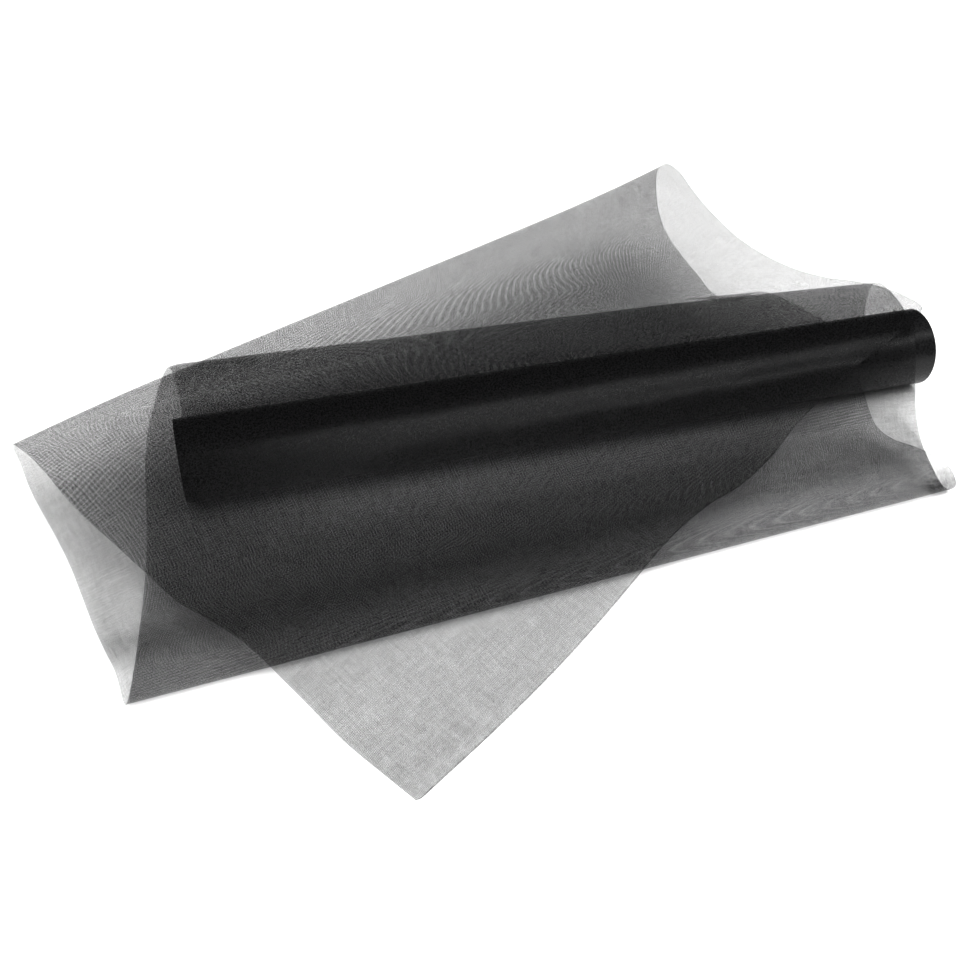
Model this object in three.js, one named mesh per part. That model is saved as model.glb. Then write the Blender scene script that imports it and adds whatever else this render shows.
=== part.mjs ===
// Insect screen mesh: a tight roll whose free end is folded back and forth over it.
// Millimetres, Z up, front at -Y.
import * as THREE from "three";

const WIDTH = 1000;
const ROLL_RADIUS = 51.4;
const ROLL_STEP = 1.1;
const FLAT_DEPTH = 0.6;
const ROLL_X = 2;
const ROLL_Y = 6;
const ROLL_SIDES = 72;
const STEP_TURN = 1.5 * Math.PI + 0.4;
const SHEET_THICK = 1.2;
const SPAN_STEPS = 3;
const KNEE_X = 20;
const FAR_KNEE_X = 560;
const LIE = SHEET_THICK / 2;
const CENTRE_X = 409.9;
const CENTRE_Y = -25.7;

// Places of the two droops in a row of the tables below.
const LEFT_DROOP = 6;
const RIGHT_DROOP = 7;

// Share of the width at each column, closer together on the left where the sheet droops past the roll.
const COLUMNS = [0, 0.04, 0.09, 0.14, 0.2, 0.32, 0.46, 0.6, 0.74, 0.88, 1];

// One row for each section of the sheet, from the roll outwards:
// left edge x, y, z, then right edge x, y, z,
// then the droop of the left edge past the roll's end and the droop of the right edge.
// LIE is the height of a sheet that lies flat.
const FOOT = [
  [2, 22, LIE, 1001, 22, LIE, 0, 0],
  [6, 120, LIE, 1003, 74, LIE, 0, 0],
  [8, 158, 4, 1004, 108, 4, 0, 0],
  [9, 181, 24, 1004, 131, 24, 0, 0],
  [8, 187, 52, 1004, 137, 54, 2, 4],
];
const TOP_BEND = [
  [5, 180, 72.5, 1003.5, 132, 76.5, 3, 7],
  [2, 160, 87, 1002, 117, 91, 3, 7],
];
const FIRST_PASS = [
  [-9, 112, 95.5, 995, 81, 100.5, 2, 5],
  [-18, 50, 104.5, 986, 44, 106, 1, 2],
  [-26, 5, 107, 978, 8, 107, 0, 0],
  [-33, -38, 95.5, 970, -28, 99.5, 0, 0],
  [-39, -74, 67, 962, -55, 75.5, 0, 0],
  [-45, -112, 37.5, 956, -77, 43, 0, 0],
  [-53, -155, 15.5, 950, -104, 15, 0, 0],
  [-62, -205, 3.5, 942, -134, 2.5, 0, 0],
  [-70, -257, LIE, 930, -174, LIE, 0, 0],
  [-78, -305, LIE, 919, -222, LIE, 0, 0],
];
const FRONT_BEND = [
  [-81, -320, 5, 921, -235, 5.5, 0, 0],
  [-82, -323, 14, 923, -238, 15, 0, 0],
  [-83, -315, 23, 922, -229, 25.5, 0, 0],
  [-86, -296, 28, 919, -207, 31, 0, 0],
];
const SECOND_PASS = [
  [-97, -258, 24, 909, -166, 22, 0, 0],
  [-109, -212, 16, 893, -135, 17, 0, 0],
  [-120, -165, 17, 882, -113, 24, 3, 0],
  [-130, -125, 28, 877, -90, 45, 13, 0],
  [-142, -88, 40, 872, -64, 73.5, 25, 0],
  [-163, -40, 75, 866, -33, 102, 26, 0],
  [-174, 2, 87, 857, 8, 112, 25, 0],
  [-177, 13, 87, 846, 45, 110, 25, 0],
  [-179, 20, 86, 834, 90, 105.5, 28, 3],
  [-180.5, 25, 85, 820, 130, 95.5, 29, 13],
  [-181.5, 29, 84, 802, 166, 61, 28, 41],
  [-182, 32, 83, 789, 206, 55, 31, 39],
  [-182.5, 34, 82, 786, 256, 58, 31, 27],
  [-183, 36, 81.5, 784, 316, 61, 31, 13],
  [-183.5, 38, 81, 783, 376, 69, 28, 4],
];
const BACK_BEND = [
  [-184, 39.5, 82, 785, 416, 86, 25, 0],
  [-184, 40.5, 84.5, 789, 444, 113, 17, -4],
  [-183.5, 40, 88, 792, 452, 138, 9, -8],
  [-182.5, 37.5, 91, 798, 438, 154, 7, -10],
  [-181, 34, 93.5, 803, 402, 159, 7, -10],
];
const THIRD_PASS = [
  [-179, 29, 95.5, 809, 355, 147, 9, -10],
  [-176.5, 24, 97, 817, 305, 136, 12, -10],
  [-174, 19, 98, 830, 242, 126, 15.5, -9],
  [-170.5, 13, 99, 850, 187, 120, 18, -5],
  [-167, 7, 100, 880, 144, 115, 19.5, -2],
  [-163, 0, 100.5, 915, 114, 112.5, 19, 0],
  [-158, -9, 100.5, 950, 91, 114, 18, 0],
  [-153, -18, 99.5, 976, 60, 116.5, 18, 0],
  [-148, -27, 98, 989, 29, 118.5, 17, 0],
  [-142, -37, 95, 994, 2, 118.5, 15, 0],
];
const CUT_END = [
  [-134, -50, 88, 960, -24, 111, 14, 0],
  [-123, -66, 77, 918, -43, 99, 12, 0],
  [-111, -81, 66, 870, -61, 86.5, 10, 0],
  [-97, -97, 56, 819, -82, 64, 8, 0],
  [-78, -119, 43.5, 766, -108, 43, 4, 0],
  [-50, -155, 28, 718, -142, 28, 0, 0],
  [-19, -206, 24, 652, -186, 28, 0, 0],
  [8, -243, 30, 604, -212, 34.5, 0, 0],
  [36, -283, 35.5, 541, -254, 38.5, 0, 0],
  [56, -316, 36, 506, -280, 36, 0, 0],
  [90, -370, 23, 446, -324, 23, 0, 0],
  [124, -424, 8, 366, -380, 8, 0, 0],
  [152, -464, 1.3, 278, -440, 1.3, 0, 0],
  [178, -504, LIE, 183, -503, LIE, 0, 0],
];
const SECTIONS = [
  ...FOOT,
  ...TOP_BEND,
  ...FIRST_PASS,
  ...FRONT_BEND,
  ...SECOND_PASS,
  ...BACK_BEND,
  ...THIRD_PASS,
  ...CUT_END,
];

// A smooth curve through one point of every section.
function curveOf(pick) {
  const points = SECTIONS.map((row) => new THREE.Vector3(...pick(row)));
  return new THREE.CatmullRomCurve3(points, false, "centripetal");
}

// The middle of the sheet as rows of points.
// Each row is a straight ruling with its droop past the roll's end.
function middleGrid() {
  const left = curveOf((row) => row.slice(0, 3));
  const right = curveOf((row) => row.slice(3, 6));
  const steps = (SECTIONS.length - 1) * SPAN_STEPS;
  const rows = [];
  for (let i = 0; i <= steps; i++) {
    const t = i / steps;
    const a = left.getPoint(t);
    const b = right.getPoint(t);
    const k = Math.min(Math.floor(i / SPAN_STEPS), SECTIONS.length - 2);
    const w = i / SPAN_STEPS - k;
    const droop = THREE.MathUtils.lerp(SECTIONS[k][LEFT_DROOP], SECTIONS[k + 1][LEFT_DROOP], w);
    const farDroop = THREE.MathUtils.lerp(SECTIONS[k][RIGHT_DROOP], SECTIONS[k + 1][RIGHT_DROOP], w);
    const knee = KNEE_X - a.x;
    const farKnee = b.x - FAR_KNEE_X;
    rows.push(
      COLUMNS.map((v) => {
        const p = a.clone().lerp(b, v);
        const past = knee > 0 ? Math.max(0, (KNEE_X - p.x) / knee) : 0;
        const farPast = farKnee > 0 ? Math.max(0, (p.x - FAR_KNEE_X) / farKnee) : 0;
        p.z += droop * (1 - v - past * past) + farDroop * (v - farPast * farPast);
        return p;
      }),
    );
  }
  return rows;
}

// The direction square to the sheet at one point of the grid.
function normalAt(grid, i, j) {
  const along = grid[Math.min(i + 1, grid.length - 1)][j].clone().sub(grid[Math.max(i - 1, 0)][j]);
  const across = grid[i][Math.min(j + 1, COLUMNS.length - 1)].clone().sub(grid[i][Math.max(j - 1, 0)]);
  return across.cross(along).normalize();
}

// A closed solid of even thickness on both sides of a grid of points.
function sheetSolid(grid, thick) {
  const rows = grid.length;
  const cols = COLUMNS.length;
  const points = [];
  const faces = [];
  for (const side of [0.5, -0.5])
    for (let i = 0; i < rows; i++)
      for (let j = 0; j < cols; j++) {
        const p = grid[i][j].clone().addScaledVector(normalAt(grid, i, j), side * thick);
        points.push(p.x, p.y, Math.max(p.z, 0));
      }
  const at = (face, i, j) => face * rows * cols + i * cols + j;
  const quad = (a, b, c, d) => faces.push(a, b, c, a, c, d);
  for (let i = 0; i + 1 < rows; i++)
    for (let j = 0; j + 1 < cols; j++) {
      quad(at(0, i, j), at(0, i, j + 1), at(0, i + 1, j + 1), at(0, i + 1, j));
      quad(at(1, i, j), at(1, i + 1, j), at(1, i + 1, j + 1), at(1, i, j + 1));
    }
  for (let i = 0; i + 1 < rows; i++) {
    quad(at(0, i, 0), at(0, i + 1, 0), at(1, i + 1, 0), at(1, i, 0));
    quad(at(0, i, cols - 1), at(1, i, cols - 1), at(1, i + 1, cols - 1), at(0, i + 1, cols - 1));
  }
  for (let j = 0; j + 1 < cols; j++) {
    quad(at(0, 0, j), at(1, 0, j), at(1, 0, j + 1), at(0, 0, j + 1));
    quad(at(0, rows - 1, j), at(0, rows - 1, j + 1), at(1, rows - 1, j + 1), at(1, rows - 1, j));
  }
  const solid = new THREE.BufferGeometry();
  solid.setAttribute("position", new THREE.Float32BufferAttribute(points, 3));
  solid.setIndex(faces);
  return solid;
}

// The wound roll: one slow spiral turn with a step where the sheet leaves it, flattened where it rests.
function rollSolid() {
  const outline = new THREE.Shape();
  const middle = ROLL_RADIUS + ROLL_STEP - FLAT_DEPTH;
  for (let i = 0; i <= ROLL_SIDES; i++) {
    const turn = i / ROLL_SIDES;
    const angle = STEP_TURN - 2 * Math.PI * turn;
    const radius = ROLL_RADIUS + ROLL_STEP * (1 - turn);
    const y = radius * Math.cos(angle);
    const z = Math.max(0, middle + radius * Math.sin(angle));
    if (i === 0) outline.moveTo(y, z);
    else outline.lineTo(y, z);
  }
  return new THREE.ExtrudeGeometry(outline, { depth: WIDTH, bevelEnabled: false });
}

const woundCloth = new THREE.MeshStandardMaterial({ color: 0x2a2b2d, roughness: 0.7, metalness: 0 });
const looseCloth = new THREE.MeshStandardMaterial({ color: 0x5c5d60, roughness: 0.75, metalness: 0 });

// The roll's outline stands across the width, so it is turned to run along X.
const roll = new THREE.Mesh(rollSolid(), woundCloth);
roll.name = "wound_roll";
roll.position.set(ROLL_X, ROLL_Y, 0);
roll.setRotationFromMatrix(
  new THREE.Matrix4().makeBasis(
    new THREE.Vector3(0, 1, 0),
    new THREE.Vector3(0, 0, 1),
    new THREE.Vector3(1, 0, 0),
  ),
);
const sheet = new THREE.Mesh(sheetSolid(middleGrid(), SHEET_THICK), looseCloth);
sheet.name = "loose_sheet";

// The sizes above start on the floor near the roll's left end.
// The part's origin is the middle of its footprint.
const laid = new THREE.Group();
laid.position.set(-CENTRE_X, -CENTRE_Y, 0);
laid.add(roll, sheet);
const screen = new THREE.Group();
screen.name = "insect_screen";
screen.add(laid);
export default screen;
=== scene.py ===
"""A part-unrolled roll of fine insect screen cloth, its loose end folded back and forth over the roll."""

import math
from collections import namedtuple

import bpy
import numpy as np
from mathutils import Matrix, Vector


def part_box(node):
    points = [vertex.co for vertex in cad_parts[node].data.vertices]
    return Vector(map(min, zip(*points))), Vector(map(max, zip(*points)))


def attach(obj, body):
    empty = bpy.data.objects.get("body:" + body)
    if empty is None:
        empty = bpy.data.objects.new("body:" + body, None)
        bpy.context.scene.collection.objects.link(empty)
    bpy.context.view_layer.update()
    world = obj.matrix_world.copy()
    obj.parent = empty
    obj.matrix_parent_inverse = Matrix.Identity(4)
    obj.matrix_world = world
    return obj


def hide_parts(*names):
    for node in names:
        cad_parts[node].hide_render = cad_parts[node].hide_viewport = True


bl_info = {
    "name": "Insect screen roll",
    "version": (1, 0, 0),
    "blender": (4, 5, 0),
    "location": "View3D > Sidebar > Screen",
    "description": "Builds a roll of insect screen cloth with a folded loose end",
    "category": "Object",
}

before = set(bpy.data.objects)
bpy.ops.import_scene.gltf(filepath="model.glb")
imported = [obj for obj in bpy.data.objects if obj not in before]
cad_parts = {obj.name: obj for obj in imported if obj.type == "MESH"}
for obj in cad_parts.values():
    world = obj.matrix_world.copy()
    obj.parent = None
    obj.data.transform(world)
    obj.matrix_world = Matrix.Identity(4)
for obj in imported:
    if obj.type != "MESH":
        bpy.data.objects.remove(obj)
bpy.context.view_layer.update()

MM = 0.001
TAU = 2 * math.pi
TINY = 1e-12
BODY = "root"

# Where the sizes of the sheet start, on the floor near the roll's left end, and where the roll starts.
ROLL_LOW, ROLL_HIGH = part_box("wound_roll")
START = np.array([-0.4099, 0.0257, 0.0])
ROLL_START = START + np.array([0.002, 0.006, 0.0])
ROLL_LENGTH = ROLL_HIGH.x - ROLL_LOW.x

# The loose end's width and length when flat, in metres, and the steps of its mesh.
CLOTH_WIDTH = 1.0
CLOTH_LENGTH = 1.89
SPAN_STEPS = 6
CLOTH_COLUMNS = 96

# Height of cloth that lies on the floor, and where its edges start to droop, in millimetres.
LIE = 0.6
KNEE_X = 20
FAR_KNEE_X = 560

# One row for each section of the sheet, from the roll outwards, in millimetres:
# left edge x, y, z, right edge x, y, z, droop of the left edge past the roll's end, droop of the right edge.
FOOT = [
    [2, 22, LIE, 1001, 22, LIE, 0, 0],
    [6, 120, LIE, 1003, 74, LIE, 0, 0],
    [8, 158, 4, 1004, 108, 4, 0, 0],
    [9, 181, 24, 1004, 131, 24, 0, 0],
    [8, 187, 52, 1004, 137, 54, 2, 4],
]
TOP_BEND = [
    [5, 180, 72.5, 1003.5, 132, 76.5, 3, 7],
    [2, 160, 87, 1002, 117, 91, 3, 7],
]
FIRST_PASS = [
    [-9, 112, 95.5, 995, 81, 100.5, 2, 5],
    [-18, 50, 104.5, 986, 44, 106, 1, 2],
    [-26, 5, 107, 978, 8, 107, 0, 0],
    [-33, -38, 95.5, 970, -28, 99.5, 0, 0],
    [-39, -74, 67, 962, -55, 75.5, 0, 0],
    [-45, -112, 37.5, 956, -77, 43, 0, 0],
    [-53, -155, 15.5, 950, -104, 15, 0, 0],
    [-62, -205, 3.5, 942, -134, 2.5, 0, 0],
    [-70, -257, LIE, 930, -174, LIE, 0, 0],
    [-78, -305, LIE, 919, -222, LIE, 0, 0],
]
FRONT_BEND = [
    [-81, -320, 5, 921, -235, 5.5, 0, 0],
    [-82, -323, 14, 923, -238, 15, 0, 0],
    [-83, -315, 23, 922, -229, 25.5, 0, 0],
    [-86, -296, 28, 919, -207, 31, 0, 0],
]
SECOND_PASS = [
    [-97, -258, 24, 909, -166, 22, 0, 0],
    [-109, -212, 16, 893, -135, 17, 0, 0],
    [-120, -165, 17, 882, -113, 24, 3, 0],
    [-130, -125, 28, 877, -90, 45, 13, 0],
    [-142, -88, 40, 872, -64, 73.5, 25, 0],
    [-163, -40, 75, 866, -33, 102, 26, 0],
    [-174, 2, 87, 857, 8, 112, 25, 0],
    [-177, 13, 87, 846, 45, 110, 25, 0],
    [-179, 20, 86, 834, 90, 105.5, 28, 3],
    [-180.5, 25, 85, 820, 130, 95.5, 29, 13],
    [-181.5, 29, 84, 802, 166, 61, 28, 41],
    [-182, 32, 83, 789, 206, 55, 31, 39],
    [-182.5, 34, 82, 786, 256, 58, 31, 27],
    [-183, 36, 81.5, 784, 316, 61, 31, 13],
    [-183.5, 38, 81, 783, 376, 69, 28, 4],
]
BACK_BEND = [
    [-184, 39.5, 82, 785, 416, 86, 25, 0],
    [-184, 40.5, 84.5, 789, 444, 113, 17, -4],
    [-183.5, 40, 88, 792, 452, 138, 9, -8],
    [-182.5, 37.5, 91, 798, 438, 154, 7, -10],
    [-181, 34, 93.5, 803, 402, 159, 7, -10],
]
THIRD_PASS = [
    [-179, 29, 95.5, 809, 355, 147, 9, -10],
    [-176.5, 24, 97, 817, 305, 136, 12, -10],
    [-174, 19, 98, 830, 242, 126, 15.5, -9],
    [-170.5, 13, 99, 850, 187, 120, 18, -5],
    [-167, 7, 100, 880, 144, 115, 19.5, -2],
    [-163, 0, 100.5, 915, 114, 112.5, 19, 0],
    [-158, -9, 100.5, 950, 91, 114, 18, 0],
    [-153, -18, 99.5, 976, 60, 116.5, 18, 0],
    [-148, -27, 98, 989, 29, 118.5, 17, 0],
    [-142, -37, 95, 994, 2, 118.5, 15, 0],
]
CUT_END = [
    [-134, -50, 88, 960, -24, 111, 14, 0],
    [-123, -66, 77, 918, -43, 99, 12, 0],
    [-111, -81, 66, 870, -61, 86.5, 10, 0],
    [-97, -97, 56, 819, -82, 64, 8, 0],
    [-78, -119, 43.5, 766, -108, 43, 4, 0],
    [-50, -155, 28, 718, -142, 28, 0, 0],
    [-19, -206, 24, 652, -186, 28, 0, 0],
    [8, -243, 30, 604, -212, 34.5, 0, 0],
    [36, -283, 35.5, 541, -254, 38.5, 0, 0],
    [56, -316, 36, 506, -280, 36, 0, 0],
    [90, -370, 23, 446, -324, 23, 0, 0],
    [124, -424, 8, 366, -380, 8, 0, 0],
    [152, -464, 1.3, 278, -440, 1.3, 0, 0],
    [178, -504, LIE, 183, -503, LIE, 0, 0],
]
PASSES = FOOT + TOP_BEND + FIRST_PASS + FRONT_BEND + SECOND_PASS + BACK_BEND + THIRD_PASS
SECTIONS = np.array(PASSES + CUT_END, float)
CUT_ROW = (len(PASSES) - 1) * SPAN_STEPS

# Soft waves of the loose cloth, in metres: long waves that swing, cross waves that lean, and short ripples.
WAVE_LENGTH = 0.093
WAVE_SWING = 0.12
WAVE_SWING_LENGTH = 0.61
CROSS_WAVE_SHARE = 0.2
CROSS_WAVE_LENGTH = 0.237
CROSS_WAVE_LEAN = 0.31
CROSS_WAVE_START = 0.2
RIPPLE_SHARE = 0.3
RIPPLE_LENGTH = 0.041
RIPPLE_LEAN = 2.9
WAVES_START_AT = 0.002
WAVES_GROW_OVER = 0.02

# The front bend lies askew on the flat strip: metres along it at the left selvedge, and how far it leans.
BEND_ALONG = 0.786
BEND_LEAN = 0.192

# Soft bands of thinner or thicker yarn, as painted light and painted shade: middle and reach, in metres past
# the front bend or along the strip.
BEND_BAND = (0.028, 0.055)
TROUGH_BAND = (0.08, 0.045)
SLOPE_BAND = (0.19, 0.06)
LOOP_BAND = (0.0, 0.05)
WALL_BAND = (0.27, 0.11)

# How much thinner, for painted light, or thicker, for painted shade, as shares of the yarn, and where that
# sets in across the strip, in metres.
BEND_PAINTED_LIGHT = 0.2
BEND_PAINTED_LIGHT_RIGHT = 0.3
BEND_RIGHT = (0.5, 0.8)
TROUGH_PAINTED_SHADE = 0.3
TROUGH_LESS_RIGHT = 0.65
TROUGH_RIGHT = (0.5, 0.85)
SLOPE_PAINTED_LIGHT = 0.18
SLOPE_LEFT = (0.0, 0.35)
LOOP_PAINTED_SHADE = 0.8
LOOP_RIGHT = (0.968, 0.985)
WALL_PAINTED_SHADE = 0.42
WALL_MIDDLE = 0.42
WALL_ENDS = (0.1, 0.36)

# A yarn's thickness: its least share, what each yarn adds, what slubs add, and how soft its sides are.
YARN_LEAST = 0.45
YARN_OWN = 0.2
YARN_SLUB = 0.9
YARN_SIDE = 0.06
SLUBS_PER_YARN = 0.4
SLUBS_PER_METRE = 40
SLUB_DETAIL = 2.0
WOUND_YARN_SHARE = 0.5

# Finishes: fine noise, the shades between which it varies, roughness and how much that varies, and gloss.
Finish = namedtuple("Finish", "scale detail dark light rough rougher gloss")
LOOSE_FINISH = Finish(scale=500.0, detail=3.0, dark=0.4, light=1.7, rough=0.22, rougher=0.16, gloss=0.5)
WOUND_FINISH = Finish(scale=330.0, detail=2.0, dark=0.55, light=1.7, rough=0.24, rougher=0.16, gloss=0.35)
YARN_FINISH = Finish(scale=400.0, detail=2.0, dark=0.6, light=1.5, rough=0.5, rougher=0.0, gloss=0.5)
NOISE_SPREAD = (0.35, 0.65)
YARN_TONE_SHARE = 0.5
BUMP_STRENGTH = 0.12
BUMP_HEIGHT = 0.0002
FLOOR_ROUGH = 0.9

# The roll's mesh: its flat spot, where its step lies, how far the wrap lies under it, and its lumps.
ROLL_SIDES = 180
ROLL_RINGS = 120
ROLL_FLAT = 0.0006
ROLL_STEP_TURN = 1.5 * math.pi + 0.4
WRAP_UNDER = 0.0003
FLOOR_GAP = 0.0002
LUMP_HEIGHT = 0.00025
LUMPS_ALONG = 5.3
LUMP_SWING = 0.1
LUMPS_ROUND = 3
SWAY_HEIGHT = 0.0002
SWAYS_ALONG = 2.1

# The turns on the roll's ends: a ribbon on edge over a disc, with spots and rings that stand in and out.
RIBBON_WIDTH = 0.006
TURN_FILL = 0.6
TURNS_UNDER = 0.0004
TURN_POINTS = 40
TURN_LIGHTER = 1.8
DISC_SIDES = 90
SPOT_SCALE = 160.0
SPOT_DETAIL = 2.0
SPOT_LIFT = 0.002
RING_SCALE = 260.0
RING_DETAIL = 1.0
RING_LIFT = 0.005

# The yarn ends along the cut edge: their length, their lean and the shortest one's share of the length.
EDGE_PIECES = ("left_selvedge", "right_selvedge", "cut_yarn_ends")
YARN_SIDES = 5
STUB_SIDES = 4
STUB_LENGTH = 0.003
STUB_LEAN = (0.35, 0.35, 0.1)
STUB_SHORTEST = 0.3
LEAN_SEED = 5
REACH_SEED = 11

# The photograph's camera, fitted to the roll's ends, the fold lines and the square corner of the cut end.
CAMERA_PLACE = (-0.3489, -1.1184, 0.9273)
CAMERA_DOWN = 0.68998
CAMERA_TURN = 0.26986
CAMERA_ROLL = 0.0070
CAMERA_LENS = 43.35
CAMERA_FAR = 50.0
SENSOR = 36.0
VIEW_GAMMA = 0.77

# Soft lights: name, place, the point it faces, size, and whether it shows as a highlight on glossy yarn.
FLOOR_HALF = 8.0
LIGHTS = (
    ("key", (1.2, -0.75, 1.89), (1.2, 0.03, 0.05), (2.8, 0.3), True),
    ("top", (0.0, -0.8, 2.5), (0.0, -0.8, 0.0), (5.0, 3.0), False),
    ("back", (0.4, 2.7, 1.4), (0.4, 2.7, 0.0), (5.0, 2.4), False),
)


class ScreenCloth(bpy.types.PropertyGroup):
    """Sizes and colours of the woven cloth."""

    warp_pitch: bpy.props.FloatProperty(
        name="Warp pitch",
        description="Distance between the yarns that run along the strip",
        default=0.00116,
        unit="LENGTH",
    )
    weft_pitch: bpy.props.FloatProperty(
        name="Weft pitch",
        description="Distance between the yarns that run across the strip",
        default=0.00122,
        unit="LENGTH",
    )
    yarn_share: bpy.props.FloatProperty(
        name="Yarn share",
        description="Share of the pitch that a yarn covers",
        default=0.25,
        subtype="FACTOR",
    )
    yarn_colour: bpy.props.FloatVectorProperty(
        name="Yarn colour",
        description="Colour of the coated yarn",
        default=(0.0115, 0.0115, 0.012),
        subtype="COLOR",
    )
    wave_height: bpy.props.FloatProperty(
        name="Wave height",
        description="Height of the soft waves in the loose cloth",
        default=0.00015,
        unit="LENGTH",
    )


class ScreenRoll(bpy.types.PropertyGroup):
    """Sizes and colours of the wound roll."""

    radius: bpy.props.FloatProperty(
        name="Radius",
        description="Radius of the roll under its last turn",
        default=0.0514,
        unit="LENGTH",
    )
    step: bpy.props.FloatProperty(
        name="Step",
        description="Rise where the loose end leaves the roll",
        default=0.0011,
        unit="LENGTH",
    )
    eye_radius: bpy.props.FloatProperty(
        name="Eye radius",
        description="Radius of the small eye at the middle of the turns",
        default=0.005,
        unit="LENGTH",
    )
    turns: bpy.props.FloatProperty(
        name="Turns",
        description="Turns that show on the roll's ends",
        default=44.0,
    )
    colour: bpy.props.FloatVectorProperty(
        name="Colour",
        description="Colour of the wound cloth",
        default=(0.012, 0.012, 0.0125),
        subtype="COLOR",
    )


class ScreenStage(bpy.types.PropertyGroup):
    """The floor and the light."""

    floor_colour: bpy.props.FloatVectorProperty(
        name="Floor colour",
        description="Colour of the plain floor",
        default=(0.93, 0.93, 0.93),
        subtype="COLOR",
    )
    sky_light: bpy.props.FloatProperty(
        name="Sky light",
        description="Strength of the even light from all round",
        default=0.5,
    )
    key_power: bpy.props.FloatProperty(
        name="Key power",
        description="Power of the long soft light above the front",
        default=13.0,
        unit="POWER",
    )
    top_power: bpy.props.FloatProperty(
        name="Top power",
        description="Power of the broad soft light overhead",
        default=142.0,
        unit="POWER",
    )
    back_power: bpy.props.FloatProperty(
        name="Back power",
        description="Power of the soft light over the floor far behind",
        default=20.0,
        unit="POWER",
    )


# The Mix node's sockets for two colours and for the mixed one.
MIX_FIRST = 6
MIX_SECOND = 7
MIX_RESULT = 2

# The Random Value node's sockets for the least and the most of a vector and of a number, and its results.
VECTOR_LEAST = 0
VECTOR_MOST = 1
VECTOR_RESULT = 0
NUMBER_LEAST = 2
NUMBER_MOST = 3
NUMBER_RESULT = 1


class Strand:
    """A shader socket that takes part in Python expressions."""

    def __init__(self, tree, socket=None):
        self.tree = tree
        self.socket = socket

    def add(self, kind, settings=None, inputs=None, output=0):
        """Adds a node: its settings first, then its sockets' values or links, and gives one output."""
        node = self.tree.nodes.new(kind)
        for name, value in (settings or {}).items():
            setattr(node, name, value)
        for key, value in (inputs or {}).items():
            if isinstance(value, Strand):
                self.tree.links.new(value.socket, node.inputs[key])
            else:
                node.inputs[key].default_value = value
        return Strand(self.tree, node.outputs[output] if node.outputs else None)

    def maths(self, operation, *values):
        return self.add("ShaderNodeMath", {"operation": operation}, dict(enumerate(values)))

    def __add__(self, other):
        return self.maths("ADD", self, other)

    def __radd__(self, other):
        return self.maths("ADD", other, self)

    def __sub__(self, other):
        return self.maths("SUBTRACT", self, other)

    def __rsub__(self, other):
        return self.maths("SUBTRACT", other, self)

    def __mul__(self, other):
        return self.maths("MULTIPLY", self, other)

    def __rmul__(self, other):
        return self.maths("MULTIPLY", other, self)

    def __abs__(self):
        return self.maths("ABSOLUTE", self)

    def floor(self):
        return self.maths("FLOOR", self)

    def fraction(self):
        return self.maths("FRACT", self)

    def between(self, low, high):
        """0 below low, 1 above high, smooth between."""
        settings = {"interpolation_type": "SMOOTHSTEP"}
        return self.add("ShaderNodeMapRange", settings, {"Value": self, "From Min": low, "From Max": high})

    def mix(self, first, second):
        """A colour between two, by this value."""
        inputs = {"Factor": self, MIX_FIRST: first, MIX_SECOND: second}
        return self.add("ShaderNodeMix", {"data_type": "RGBA"}, inputs, MIX_RESULT)


def new_material(name):
    """An empty material, and a strand that adds nodes to it."""
    material = bpy.data.materials.new(name)
    material.use_nodes = True
    material.node_tree.nodes.clear()
    return material, Strand(material.node_tree)


def finish_material(material, strand, inputs):
    """Closes a material with one shader, from its inputs."""
    surface = strand.add("ShaderNodeBsdfPrincipled", None, inputs)
    strand.add("ShaderNodeOutputMaterial", None, {"Surface": surface})
    return material


def shade(colour, share):
    """A darker or lighter shade of a colour, solid."""
    return [part * share for part in colour] + [1.0]


def cloth_place(strand):
    """The place across the strip and along it, from the piece's own map."""
    place = strand.add("ShaderNodeUVMap", {"uv_map": "cloth"})
    across = strand.add("ShaderNodeSeparateXYZ", None, {0: place}, "X")
    return across, Strand(strand.tree, across.socket.node.outputs["Y"])


def speckle(strand, finish):
    """Fine noise that is fixed to the piece."""
    point = strand.add("ShaderNodeTexCoord", None, None, "Object")
    inputs = {"Vector": point, "Scale": finish.scale, "Detail": finish.detail}
    return strand.add("ShaderNodeTexNoise", None, inputs)


def uneven_colour(tone, colour, finish):
    """A colour between a finish's darkest and lightest shade, by a tone."""
    return tone.mix(shade(colour, finish.dark), shade(colour, finish.light))


def soft_band(place, middle, reach):
    """1 in the middle of a band, falling softly to 0 at its reach on both sides."""
    return 1 - abs(place - middle).between(0.0, reach)


def yarns_for_painted_light_and_shade(across, along):
    """Yarn thickness as painted light and shade: thinner for painted light on bend and slope, thicker for
    painted shade in trough, loop and wall.
    """
    past_bend = along + BEND_LEAN * across - BEND_ALONG
    light_thinning = BEND_PAINTED_LIGHT + BEND_PAINTED_LIGHT_RIGHT * across.between(*BEND_RIGHT)
    bend = soft_band(past_bend, *BEND_BAND) * light_thinning
    trough = soft_band(past_bend, *TROUGH_BAND) * (1 - TROUGH_LESS_RIGHT * across.between(*TROUGH_RIGHT))
    slope = soft_band(past_bend, *SLOPE_BAND) * across.between(*SLOPE_LEFT)
    loop = across.between(*LOOP_RIGHT) * soft_band(past_bend, *LOOP_BAND)
    wall = soft_band(along, *WALL_BAND) * abs(across - WALL_MIDDLE).between(*WALL_ENDS)
    # Thinner yarn paints light on the bend and the slope; thicker yarn paints shade in the trough.
    in_front = 1 - bend + TROUGH_PAINTED_SHADE * trough - SLOPE_PAINTED_LIGHT * slope
    # Thicker yarn paints shade in the corner loop and on the rising wall behind the roll.
    return in_front + LOOP_PAINTED_SHADE * loop + WALL_PAINTED_SHADE * wall


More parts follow.
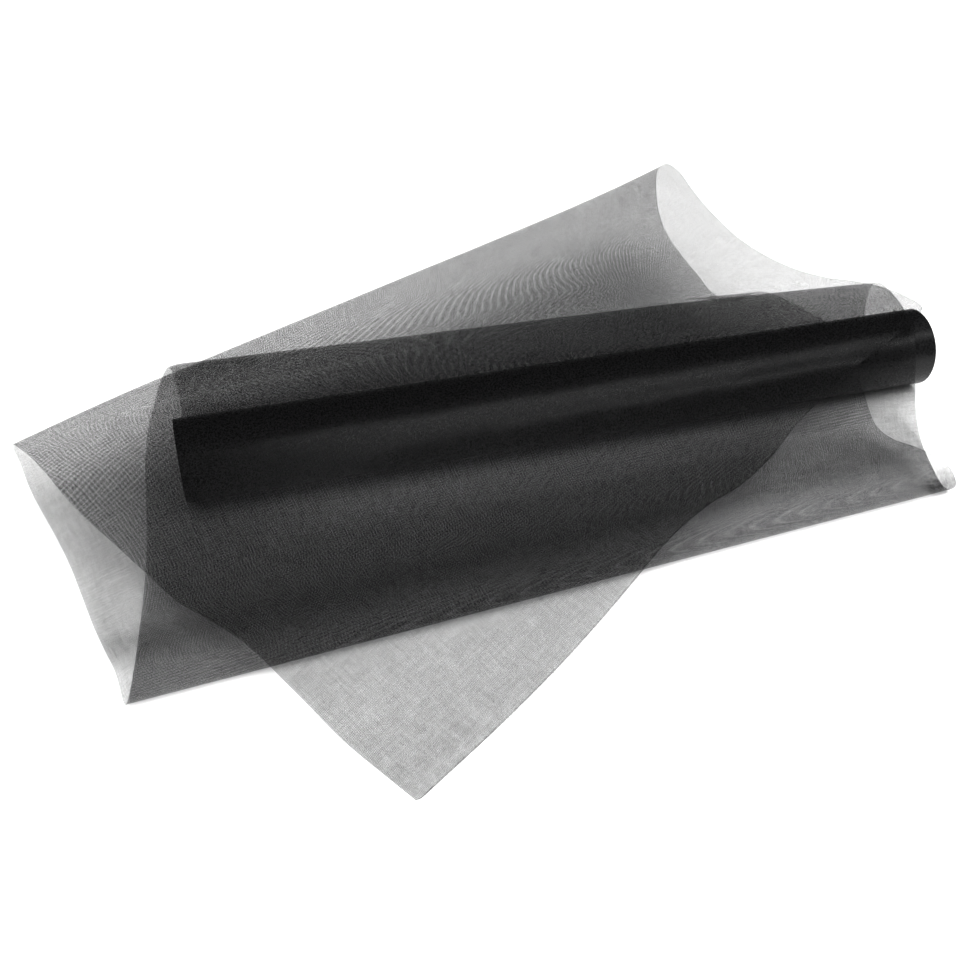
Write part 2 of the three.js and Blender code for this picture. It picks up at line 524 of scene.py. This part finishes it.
def yarn_mask(strand, across, along, pitch, share):
    """Where yarns of one direction lie, each a little thicker or thinner than the next."""
    count = across * (1 / pitch)
    number = count.floor()
    own = strand.add("ShaderNodeTexWhiteNoise", {"noise_dimensions": "1D"}, {"W": number})
    spot = strand.add("ShaderNodeCombineXYZ", None, {0: number * SLUBS_PER_YARN, 1: along * SLUBS_PER_METRE})
    inputs = {"Vector": spot, "Scale": 1.0, "Detail": SLUB_DETAIL}
    slub = strand.add("ShaderNodeTexNoise", {"noise_dimensions": "2D"}, inputs)
    width = share * (YARN_LEAST + YARN_OWN * own + YARN_SLUB * slub)
    from_gap = abs(count.fraction() * 2 - 1)
    return (from_gap - (1 - width)).between(-YARN_SIDE, YARN_SIDE)


def weave(strand, across, along, cloth, share):
    """Where a yarn of either direction lies."""
    warp = yarn_mask(strand, across, along, cloth.warp_pitch, share)
    weft = yarn_mask(strand, along, across, cloth.weft_pitch, share)
    return 1 - (1 - warp) * (1 - weft)


def loose_cloth_material(cloth):
    """Open charcoal weave, seen through between the yarns."""
    material, strand = new_material("loose_cloth")
    across, along = cloth_place(strand)
    across, along = across * CLOTH_WIDTH, along * CLOTH_LENGTH
    # The yarn share carries painted light and shade: thinner yarn lightens some bands, thicker yarn darkens
    # others.
    share = cloth.yarn_share * yarns_for_painted_light_and_shade(across, along)
    blotch = speckle(strand, LOOSE_FINISH).between(*NOISE_SPREAD)
    inputs = {
        "Base Color": uneven_colour(blotch, cloth.yarn_colour, LOOSE_FINISH),
        "Roughness": LOOSE_FINISH.rough + LOOSE_FINISH.rougher * blotch,
        "Specular IOR Level": LOOSE_FINISH.gloss,
        "Alpha": weave(strand, across, along, cloth, share),
    }
    return finish_material(material, strand, inputs)


def wound_cloth_material(cloth, roll):
    """Tightly wound charcoal weave, speckled where turns lie over each other."""
    material, strand = new_material("wound_cloth")
    across, around = cloth_place(strand)
    yarns = weave(strand, across, around, cloth, WOUND_YARN_SHARE)
    grain = speckle(strand, WOUND_FINISH).between(*NOISE_SPREAD)
    tone = yarns * YARN_TONE_SHARE + grain * (1 - YARN_TONE_SHARE)
    bump = {"Strength": BUMP_STRENGTH, "Distance": BUMP_HEIGHT, "Height": yarns}
    inputs = {
        "Base Color": uneven_colour(tone, roll.colour, WOUND_FINISH),
        "Roughness": WOUND_FINISH.rough + WOUND_FINISH.rougher * grain,
        "Specular IOR Level": WOUND_FINISH.gloss,
        "Normal": strand.add("ShaderNodeBump", None, bump),
    }
    return finish_material(material, strand, inputs)


def yarn_material(name, colour):
    """Coated yarn, a little uneven in tone."""
    material, strand = new_material(name)
    tone = uneven_colour(speckle(strand, YARN_FINISH), colour, YARN_FINISH)
    return finish_material(material, strand, {"Base Color": tone, "Roughness": YARN_FINISH.rough})


def pale_floor_material(stage):
    """Plain pale matt floor."""
    material, strand = new_material("pale_floor")
    inputs = {"Base Color": shade(stage.floor_colour, 1.0), "Roughness": FLOOR_ROUGH}
    return finish_material(material, strand, inputs)


def smooth_curve(points, steps):
    """A centripetal curve through the points, with the given steps between each pair."""
    before = 2 * points[0] - points[1]
    after = 2 * points[-1] - points[-2]
    padded = np.vstack([before, points, after])
    p0, p1, p2, p3 = padded[:-3], padded[1:-2], padded[2:-1], padded[3:]
    gap0 = np.sqrt(np.linalg.norm(p1 - p0, axis=1))[:, None]
    gap1 = np.sqrt(np.linalg.norm(p2 - p1, axis=1))[:, None]
    gap2 = np.sqrt(np.linalg.norm(p3 - p2, axis=1))[:, None]
    start = ((p1 - p0) / gap0 - (p2 - p0) / (gap0 + gap1) + (p2 - p1) / gap1) * gap1
    end = ((p2 - p1) / gap1 - (p3 - p1) / (gap1 + gap2) + (p3 - p2) / gap2) * gap1
    t = (np.arange(steps) / steps)[None, :, None]
    p1, p2, start, end = p1[:, None], p2[:, None], start[:, None], end[:, None]
    square = 3 * p2 - 3 * p1 - 2 * start - end
    cube = 2 * p1 - 2 * p2 + start + end
    bend = p1 + start * t + square * t**2 + cube * t**3
    return np.vstack([bend.reshape(-1, 3), points[-1]])


def run_length(points):
    """Length along a row of points, from its start."""
    return np.concatenate([[0], np.cumsum(np.linalg.norm(np.diff(points, axis=0), axis=1))])


def cloth_grid():
    """Rows of points of the loose sheet, in metres, and where each lies on the flat strip, from 0 to 1."""
    left = smooth_curve(SECTIONS[:, 0:3], SPAN_STEPS)
    right = smooth_curve(SECTIONS[:, 3:6], SPAN_STEPS)
    place = np.arange(len(left)) / SPAN_STEPS
    droop = np.interp(place, np.arange(len(SECTIONS)), SECTIONS[:, 6])[:, None]
    far_droop = np.interp(place, np.arange(len(SECTIONS)), SECTIONS[:, 7])[:, None]
    share = np.linspace(0, 1, CLOTH_COLUMNS + 1)[None, :]
    grid = left[:, None] * (1 - share[..., None]) + right[:, None] * share[..., None]
    past = np.maximum(0, (KNEE_X - grid[..., 0]) / np.maximum(KNEE_X - left[:, 0:1], 1))
    far_past = np.maximum(0, (grid[..., 0] - FAR_KNEE_X) / np.maximum(right[:, 0:1] - FAR_KNEE_X, 1))
    far_past[right[:, 0] < FAR_KNEE_X] = 0
    grid[..., 2] += droop * (1 - share - past**2) + far_droop * (share - far_past**2)
    left_run = run_length(left)
    right_run = run_length(right[: CUT_ROW + 1])
    cut_run = run_length(right[CUT_ROW:])
    left_flat = np.stack([np.zeros(len(left)), left_run / left_run[-1]], axis=1)
    selvedge = np.stack([np.ones(CUT_ROW + 1), right_run / right_run[-1]], axis=1)
    cut = np.stack([1 - cut_run[1:] / cut_run[-1], np.ones(len(cut_run) - 1)], axis=1)
    right_flat = np.vstack([selvedge, cut])
    flat = left_flat[:, None] * (1 - share[..., None]) + right_flat[:, None] * share[..., None]
    return grid * MM + START, flat


def square_to(grid):
    """The direction square to the sheet at each point of the grid."""
    along = np.gradient(grid, axis=0)
    across = np.gradient(grid, axis=1)
    normal = np.cross(across, along)
    return normal / np.maximum(np.linalg.norm(normal, axis=2, keepdims=True), TINY)


def waved_cloth(height):
    """The loose sheet lifted a little in long uneven waves, less near the floor, and its flat places."""
    grid, flat = cloth_grid()
    across = flat[..., 0] * CLOTH_WIDTH
    along = flat[..., 1] * CLOTH_LENGTH
    swing = WAVE_SWING * np.sin(TAU * across / WAVE_SWING_LENGTH)
    wave = np.sin(TAU * (along / WAVE_LENGTH + swing))
    lean = along / CROSS_WAVE_LEAN + CROSS_WAVE_START
    wave += CROSS_WAVE_SHARE * np.sin(TAU * (across / CROSS_WAVE_LENGTH + lean))
    wave += RIPPLE_SHARE * np.sin(TAU * (along / RIPPLE_LENGTH - across / RIPPLE_LEAN))
    free = np.clip((grid[..., 2] - WAVES_START_AT) / WAVES_GROW_OVER, 0, 1)
    waved = grid + square_to(grid) * (wave * free * height)[..., None]
    waved[..., 2] = np.maximum(waved[..., 2], LIE * MM)
    return waved, flat


def linked(name, data):
    """A new object in the scene, at the origin."""
    piece = bpy.data.objects.new(name, data)
    bpy.context.scene.collection.objects.link(piece)
    return piece


def grid_object(name, grid, flat, material):
    """A mesh of quads over a grid of points, with the flat place of each point as its map."""
    rows, columns = grid.shape[:2]
    number = np.arange(rows * columns).reshape(rows, columns)
    corners = [number[:-1, :-1], number[:-1, 1:], number[1:, 1:], number[1:, :-1]]
    quads = np.stack(corners, axis=2).reshape(-1, 4)
    mesh = bpy.data.meshes.new(name)
    mesh.from_pydata(grid.reshape(-1, 3).tolist(), [], quads.tolist())
    layer = mesh.uv_layers.new(name="cloth")
    layer.data.foreach_set("uv", flat.reshape(-1, 2)[quads.ravel()].astype(np.float32).ravel())
    mesh.polygons.foreach_set("use_smooth", np.ones(len(quads), bool))
    mesh.materials.append(material)
    mesh.update()
    return linked(name, mesh)


def roll_outline(roll):
    """Angles and radii of the roll's outline, one slow turn that ends in a step, and its axis's height."""
    turn = np.linspace(0, 1, ROLL_SIDES + 1)
    angle = ROLL_STEP_TURN - TAU * turn
    radius = roll.radius + roll.step * (1 - turn)
    return angle, radius, roll.radius + roll.step - ROLL_FLAT


def roll_grid(roll):
    """Rings of points along the roll, and their place on the cloth, both in metres."""
    angle, radius, axis_z = roll_outline(roll)
    along = np.linspace(0, 1, ROLL_RINGS + 1)[:, None]
    lumps = np.sin(TAU * (along * LUMPS_ALONG + LUMP_SWING * np.sin(angle))) * np.sin(LUMPS_ROUND * angle)
    uneven = LUMP_HEIGHT * lumps + SWAY_HEIGHT * np.sin(TAU * along * SWAYS_ALONG + angle)
    uneven[0] = uneven[1]
    uneven[-1] = uneven[-2]
    full = np.broadcast_to(radius, uneven.shape) + uneven - WRAP_UNDER
    x = np.broadcast_to(ROLL_START[0] + along * ROLL_LENGTH, full.shape)
    y = ROLL_START[1] + full * np.cos(angle)
    z = np.maximum(axis_z + full * np.sin(angle), FLOOR_GAP)
    round_it = np.broadcast_to(-angle * roll.radius, full.shape)
    lengthwise = np.broadcast_to(along, full.shape) * ROLL_LENGTH
    return np.stack([x, y, z], axis=2), np.stack([lengthwise, round_it], axis=2)


class SCREEN_OT_wound_roll(bpy.types.Operator):
    """Makes the outer turn of the wound roll"""

    bl_idname = "screen.wound_roll"
    bl_label = "Wound roll"

    def execute(self, context):
        roll = context.scene.screen_roll
        material = wound_cloth_material(context.scene.screen_cloth, roll)
        grid, flat = roll_grid(roll)
        piece = grid_object("roll_wrap", grid, flat, material)
        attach(piece, BODY)
        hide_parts("wound_roll")
        return {"FINISHED"}


class Nodes:
    """Adds and links nodes of one geometry tree."""

    def __init__(self, name, inputs):
        self.tree = bpy.data.node_groups.new(name, "GeometryNodeTree")
        self.tree.interface.new_socket("Geometry", in_out="INPUT", socket_type="NodeSocketGeometry")
        self.names = {}
        for label, kind, value in inputs:
            socket = self.tree.interface.new_socket(label, in_out="INPUT", socket_type=kind)
            if value is not None:
                socket.default_value = value
            self.names[label] = socket.identifier
        self.tree.interface.new_socket("Geometry", in_out="OUTPUT", socket_type="NodeSocketGeometry")
        self.start = self.tree.nodes.new("NodeGroupInput")

    def given(self, label):
        return self.start.outputs[label]

    def add(self, kind, settings=None, inputs=None):
        """Adds a node: its settings first, then its sockets' values or links."""
        node = self.tree.nodes.new(kind)
        for name, value in (settings or {}).items():
            setattr(node, name, value)
        for key, value in (inputs or {}).items():
            if isinstance(value, bpy.types.NodeSocket):
                self.tree.links.new(value, node.inputs[key])
            else:
                node.inputs[key].default_value = value
        return node.outputs

    def scaled(self, value, share, start):
        """A value times a share, plus a start."""
        return self.add("ShaderNodeMath", {"operation": "MULTIPLY_ADD"}, {0: value, 1: share, 2: start})[0]

    def moved(self, geometry, **how):
        """A geometry moved or turned."""
        inputs = {name.capitalize(): value for name, value in how.items()}
        return self.add("GeometryNodeTransform", None, {0: geometry, **inputs})[0]

    def joined(self, *parts):
        """Geometries as one."""
        join = self.tree.nodes.new("GeometryNodeJoinGeometry")
        for part in parts:
            self.tree.links.new(part, join.inputs[0])
        return join.outputs[0]

    def close(self, geometry):
        """Realizes the instances, sets the material and ends the tree."""
        real = self.add("GeometryNodeRealizeInstances", None, {0: geometry})[0]
        painted = self.add("GeometryNodeSetMaterial", None, {0: real, "Material": self.given("Material")})[0]
        end = self.tree.nodes.new("NodeGroupOutput")
        self.tree.links.new(painted, end.inputs[0])
        return self


def grown_piece(name, start_mesh, nodes, values):
    """A plain mesh object made by a geometry tree from a starting mesh."""
    seed = linked(name + "_seed", start_mesh)
    modifier = seed.modifiers.new("grow", "NODES")
    modifier.node_group = nodes.tree
    for label, value in values.items():
        modifier[nodes.names[label]] = value
    graph = bpy.context.evaluated_depsgraph_get()
    made = bpy.data.meshes.new_from_object(seed.evaluated_get(graph))
    made.name = name
    bpy.data.objects.remove(seed)
    return linked(name, made)


def turns_tree():
    """A spiral ribbon on edge whose turns stand a little in and out, backed by a disc, on both roll ends."""
    nodes = Nodes(
        "roll_turns",
        [
            ("Outer radius", "NodeSocketFloat", 0.05),
            ("Eye radius", "NodeSocketFloat", 0.005),
            ("Turns", "NodeSocketFloat", 40.0),
            ("Ribbon", "NodeSocketFloat", RIBBON_WIDTH),
            ("Thickness", "NodeSocketFloat", 0.0005),
            ("Length", "NodeSocketFloat", 1.0),
            ("Material", "NodeSocketMaterial", None),
        ],
    )
    spiral = nodes.add(
        "GeometryNodeCurveSpiral",
        None,
        {
            "Resolution": TURN_POINTS,
            "Rotations": nodes.given("Turns"),
            "Start Radius": nodes.given("Eye radius"),
            "End Radius": nodes.given("Outer radius"),
            "Height": 0.0,
        },
    )[0]
    level = nodes.add("GeometryNodeSetCurveNormal", {"mode": "Z_UP"}, {0: spiral})[0]
    section = nodes.add(
        "GeometryNodeCurvePrimitiveQuadrilateral",
        {"mode": "RECTANGLE"},
        {"Width": nodes.given("Thickness"), "Height": nodes.given("Ribbon")},
    )[0]
    ribbon = nodes.add("GeometryNodeCurveToMesh", None, {0: level, 1: section, "Fill Caps": True})[0]
    position = nodes.add("GeometryNodeInputPosition")[0]
    inputs = {"Vector": position, "Scale": SPOT_SCALE, "Detail": SPOT_DETAIL}
    spots = nodes.add("ShaderNodeTexNoise", None, inputs)[0]
    from_axis = nodes.add("ShaderNodeVectorMath", {"operation": "LENGTH"}, {0: position})["Value"]
    inputs = {"W": from_axis, "Scale": RING_SCALE, "Detail": RING_DETAIL}
    rings = nodes.add("ShaderNodeTexNoise", {"noise_dimensions": "1D"}, inputs)[0]
    lift = nodes.scaled(spots, SPOT_LIFT, nodes.scaled(rings, RING_LIFT, -RING_LIFT))
    offset = nodes.add("ShaderNodeCombineXYZ", None, {2: lift})[0]
    uneven = nodes.add("GeometryNodeSetPosition", None, {0: ribbon, "Offset": offset})[0]
    inputs = {"Vertices": DISC_SIDES, "Radius": nodes.given("Outer radius")}
    disc = nodes.add("GeometryNodeMeshCircle", {"fill_type": "NGON"}, inputs)[0]
    backing = nodes.moved(disc, translation=(0, 0, -RIBBON_WIDTH / 2))
    half = nodes.scaled(nodes.given("Length"), 0.5, -RIBBON_WIDTH / 2)
    out = nodes.add("ShaderNodeCombineXYZ", None, {2: half})[0]
    near_end = nodes.moved(nodes.joined(uneven, backing), translation=out)
    far_end = nodes.moved(near_end, rotation=Vector((math.pi, 0, 0)))
    return nodes.close(nodes.joined(near_end, far_end))


class SCREEN_OT_roll_turns(bpy.types.Operator):
    """Makes the turns of cloth that show on the roll's two ends"""

    bl_idname = "screen.roll_turns"
    bl_label = "Roll turns"

    def execute(self, context):
        roll = context.scene.screen_roll
        colour = shade(context.scene.screen_cloth.yarn_colour, TURN_LIGHTER)[:3]
        values = {
            "Outer radius": roll.radius - TURNS_UNDER,
            "Eye radius": roll.eye_radius,
            "Turns": roll.turns,
            "Thickness": TURN_FILL * (roll.radius - roll.eye_radius) / roll.turns,
            "Length": ROLL_LENGTH,
            "Material": yarn_material("turn_edges", colour),
        }
        piece = grown_piece("roll_turns", bpy.data.meshes.new("spiral_seed"), turns_tree(), values)
        middle = Vector((ROLL_START[0] + ROLL_LENGTH / 2, ROLL_START[1], roll_outline(roll)[2]))
        piece.data.transform(Matrix.Translation(middle) @ Matrix.Rotation(math.pi / 2, 4, "Y"))
        points = np.zeros(len(piece.data.vertices) * 3, np.float32)
        piece.data.vertices.foreach_get("co", points)
        points[2::3] = np.maximum(points[2::3], FLOOR_GAP)
        piece.data.vertices.foreach_set("co", points)
        piece.data.update()
        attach(piece, BODY)
        return {"FINISHED"}


def edge_mesh(name, points, outward=None):
    """A line of points, with the way out of the cloth at each point."""
    mesh = bpy.data.meshes.new(name)
    edges = [(i, i + 1) for i in range(len(points) - 1)]
    mesh.from_pydata(points.tolist(), edges, [])
    if outward is not None:
        layer = mesh.attributes.new("outward", "FLOAT_VECTOR", "POINT")
        layer.data.foreach_set("vector", outward.astype(np.float32).ravel())
    return mesh


def way_out(edge, inner):
    """The direction out of the cloth at each point of an edge, square to it."""
    along = np.gradient(edge, axis=0)
    along /= np.linalg.norm(along, axis=1, keepdims=True)
    outward = edge - inner
    outward -= (outward * along).sum(axis=1, keepdims=True) * along
    outward[-1] = outward[-2]
    return outward / np.maximum(np.linalg.norm(outward, axis=1, keepdims=True), TINY)


def selvedge_tree():
    """A thin round yarn along a line."""
    nodes = Nodes(
        "selvedge_yarn",
        [
            ("Radius", "NodeSocketFloat", 0.0003),
            ("Material", "NodeSocketMaterial", None),
        ],
    )
    line = nodes.add("GeometryNodeMeshToCurve", None, {0: nodes.given("Geometry")})[0]
    inputs = {"Resolution": YARN_SIDES, "Radius": nodes.given("Radius")}
    section = nodes.add("GeometryNodeCurvePrimitiveCircle", None, inputs)[0]
    yarn = nodes.add("GeometryNodeCurveToMesh", None, {0: line, 1: section, "Fill Caps": True})[0]
    return nodes.close(nodes.add("GeometryNodeSetShadeSmooth", None, {0: yarn})[0])


def cut_yarn_tree():
    """Short yarn ends standing out along a cut line, of uneven length and lean."""
    nodes = Nodes(
        "cut_yarn_ends",
        [
            ("Count", "NodeSocketInt", 600),
            ("Length", "NodeSocketFloat", 0.002),
            ("Radius", "NodeSocketFloat", 0.00015),
            ("Material", "NodeSocketMaterial", None),
        ],
    )
    line = nodes.add("GeometryNodeMeshToCurve", None, {0: nodes.given("Geometry")})[0]
    even = nodes.add("GeometryNodeResampleCurve", None, {0: line, "Count": nodes.given("Count")})[0]
    stub = nodes.add(
        "GeometryNodeMeshCylinder",
        None,
        {"Vertices": STUB_SIDES, "Radius": nodes.given("Radius"), "Depth": nodes.given("Length")},
    )[0]
    way = nodes.add("GeometryNodeInputNamedAttribute", {"data_type": "FLOAT_VECTOR"}, {"Name": "outward"})[0]
    least = tuple(-part for part in STUB_LEAN)
    inputs = {VECTOR_LEAST: least, VECTOR_MOST: STUB_LEAN, "Seed": LEAN_SEED}
    lean = nodes.add("FunctionNodeRandomValue", {"data_type": "FLOAT_VECTOR"}, inputs)[VECTOR_RESULT]
    aim = nodes.add("ShaderNodeVectorMath", {"operation": "ADD"}, {0: way, 1: lean})[0]
    turn = nodes.add("FunctionNodeAlignRotationToVector", {"axis": "Z"}, {"Vector": aim})[0]
    inputs = {NUMBER_LEAST: STUB_SHORTEST, NUMBER_MOST: 1.0, "Seed": REACH_SEED}
    reach = nodes.add("FunctionNodeRandomValue", {"data_type": "FLOAT"}, inputs)[NUMBER_RESULT]
    size = nodes.add("ShaderNodeCombineXYZ", None, {0: 1.0, 1: 1.0, 2: reach})[0]
    inputs = {"Points": even, "Instance": stub, "Rotation": turn, "Scale": size}
    return nodes.close(nodes.add("GeometryNodeInstanceOnPoints", None, inputs)[0])


class SCREEN_OT_edge_yarns(bpy.types.Operator):
    """Makes the selvedge yarns and the short yarn ends of the cut end"""

    bl_idname = "screen.edge_yarns"
    bl_label = "Edge yarns"

    def execute(self, context):
        cloth = context.scene.screen_cloth
        grid = waved_cloth(cloth.wave_height)[0]
        cut = grid[CUT_ROW:, -1]
        cut_line = edge_mesh("cut_line", cut, way_out(cut, grid[CUT_ROW:, -2]))
        yarn = {
            "Radius": cloth.warp_pitch * cloth.yarn_share / 2,
            "Material": yarn_material("cut_yarn", cloth.yarn_colour),
        }
        stubs = {"Count": int(CLOTH_WIDTH / cloth.warp_pitch), "Length": STUB_LENGTH, **yarn}
        left, right, ends = EDGE_PIECES
        selvedge = selvedge_tree()
        pieces = [
            grown_piece(left, edge_mesh(left, grid[:, 0]), selvedge, yarn),
            grown_piece(right, edge_mesh(right, grid[: CUT_ROW + 1, -1]), selvedge, yarn),
            grown_piece(ends, cut_line, cut_yarn_tree(), stubs),
        ]
        for piece in pieces:
            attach(piece, BODY)
        return {"FINISHED"}


class SCREEN_OT_loose_sheet(bpy.types.Operator):
    """Makes the loose end of the cloth, folded back and forth over the roll"""

    bl_idname = "screen.loose_sheet"
    bl_label = "Loose sheet"

    def execute(self, context):
        cloth = context.scene.screen_cloth
        grid, flat = waved_cloth(cloth.wave_height)
        piece = grid_object("loose_cloth", grid, flat, loose_cloth_material(cloth))
        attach(piece, BODY)
        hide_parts("loose_sheet")
        return {"FINISHED"}


def soft_light(name, place, aim, size, mirrored, power):
    """A rectangular soft light that faces a point, and shows as a highlight on glossy yarn or not."""
    lamp = bpy.data.lights.new(name, "AREA")
    lamp.shape = "RECTANGLE"
    lamp.energy = power
    lamp.size, lamp.size_y = size
    piece = linked(name, lamp)
    piece.location = place
    piece.rotation_euler = (Vector(aim) - Vector(place)).to_track_quat("-Z", "Y").to_euler()
    piece.visible_glossy = mirrored


def pale_floor(stage):
    """The plain floor that the cloth lies on."""
    mesh = bpy.data.meshes.new("floor")
    corners = [(x * FLOOR_HALF, y * FLOOR_HALF, 0) for x, y in ((-1, -1), (1, -1), (1, 1), (-1, 1))]
    mesh.from_pydata(corners, [], [(0, 1, 2, 3)])
    mesh.materials.append(pale_floor_material(stage))
    linked("floor", mesh)


def even_sky(scene, strength):
    """Even light from all round, which glossy yarn doesn't mirror."""
    world = bpy.data.worlds.new("even_sky")
    world.use_nodes = True
    sky = world.node_tree.nodes["Background"].inputs
    sky["Color"].default_value = (1, 1, 1, 1)
    sky["Strength"].default_value = strength
    scene.world = world
    world.cycles_visibility.glossy = False


def photo_camera(scene):
    """The camera at the photograph's viewing angle."""
    lens = bpy.data.cameras.new("photo_camera")
    lens.lens = CAMERA_LENS
    lens.sensor_width = SENSOR
    lens.clip_end = CAMERA_FAR
    camera = linked("photo_camera", lens)
    turn = Matrix.Rotation(-CAMERA_TURN, 4, "Z")
    tip = Matrix.Rotation(math.pi / 2 - CAMERA_DOWN, 4, "X")
    roll = Matrix.Rotation(CAMERA_ROLL, 4, "Z")
    camera.matrix_world = Matrix.Translation(CAMERA_PLACE) @ turn @ tip @ roll
    scene.camera = camera


class SCREEN_OT_stage(bpy.types.Operator):
    """Makes the floor, the lights and the camera at the photograph's viewing angle"""

    bl_idname = "screen.stage"
    bl_label = "Stage"

    def execute(self, context):
        scene = context.scene
        stage = scene.screen_stage
        pale_floor(stage)
        even_sky(scene, stage.sky_light)
        for name, *light in LIGHTS:
            soft_light(name, *light, power=getattr(stage, name + "_power"))
        photo_camera(scene)
        scene.view_settings.view_transform = "Standard"
        scene.view_settings.gamma = VIEW_GAMMA
        return {"FINISHED"}


class SCREEN_PT_panel(bpy.types.Panel):
    """Lists the steps that make the screen roll"""

    bl_label = "Insect screen roll"
    bl_space_type = "VIEW_3D"
    bl_region_type = "UI"
    bl_category = "Screen"

    def draw(self, context):
        for operator in OPERATORS:
            self.layout.operator(operator.bl_idname)
        for group in (context.scene.screen_cloth, context.scene.screen_roll, context.scene.screen_stage):
            for name in group.__annotations__:
                self.layout.prop(group, name)


GROUPS = {"screen_cloth": ScreenCloth, "screen_roll": ScreenRoll, "screen_stage": ScreenStage}
OPERATORS = (
    SCREEN_OT_wound_roll,
    SCREEN_OT_roll_turns,
    SCREEN_OT_edge_yarns,
    SCREEN_OT_loose_sheet,
    SCREEN_OT_stage,
)


def register():
    for cls in (*GROUPS.values(), *OPERATORS, SCREEN_PT_panel):
        bpy.utils.register_class(cls)
    for name, group in GROUPS.items():
        setattr(bpy.types.Scene, name, bpy.props.PointerProperty(type=group))


def unregister():
    for name in GROUPS:
        delattr(bpy.types.Scene, name)
    for cls in reversed((*GROUPS.values(), *OPERATORS, SCREEN_PT_panel)):
        bpy.utils.unregister_class(cls)


def main():
    register()
    bpy.ops.screen.wound_roll()
    bpy.ops.screen.roll_turns()
    bpy.ops.screen.edge_yarns()
    bpy.ops.screen.loose_sheet()
    bpy.ops.screen.stage()


if __name__ == "__main__":
    main()
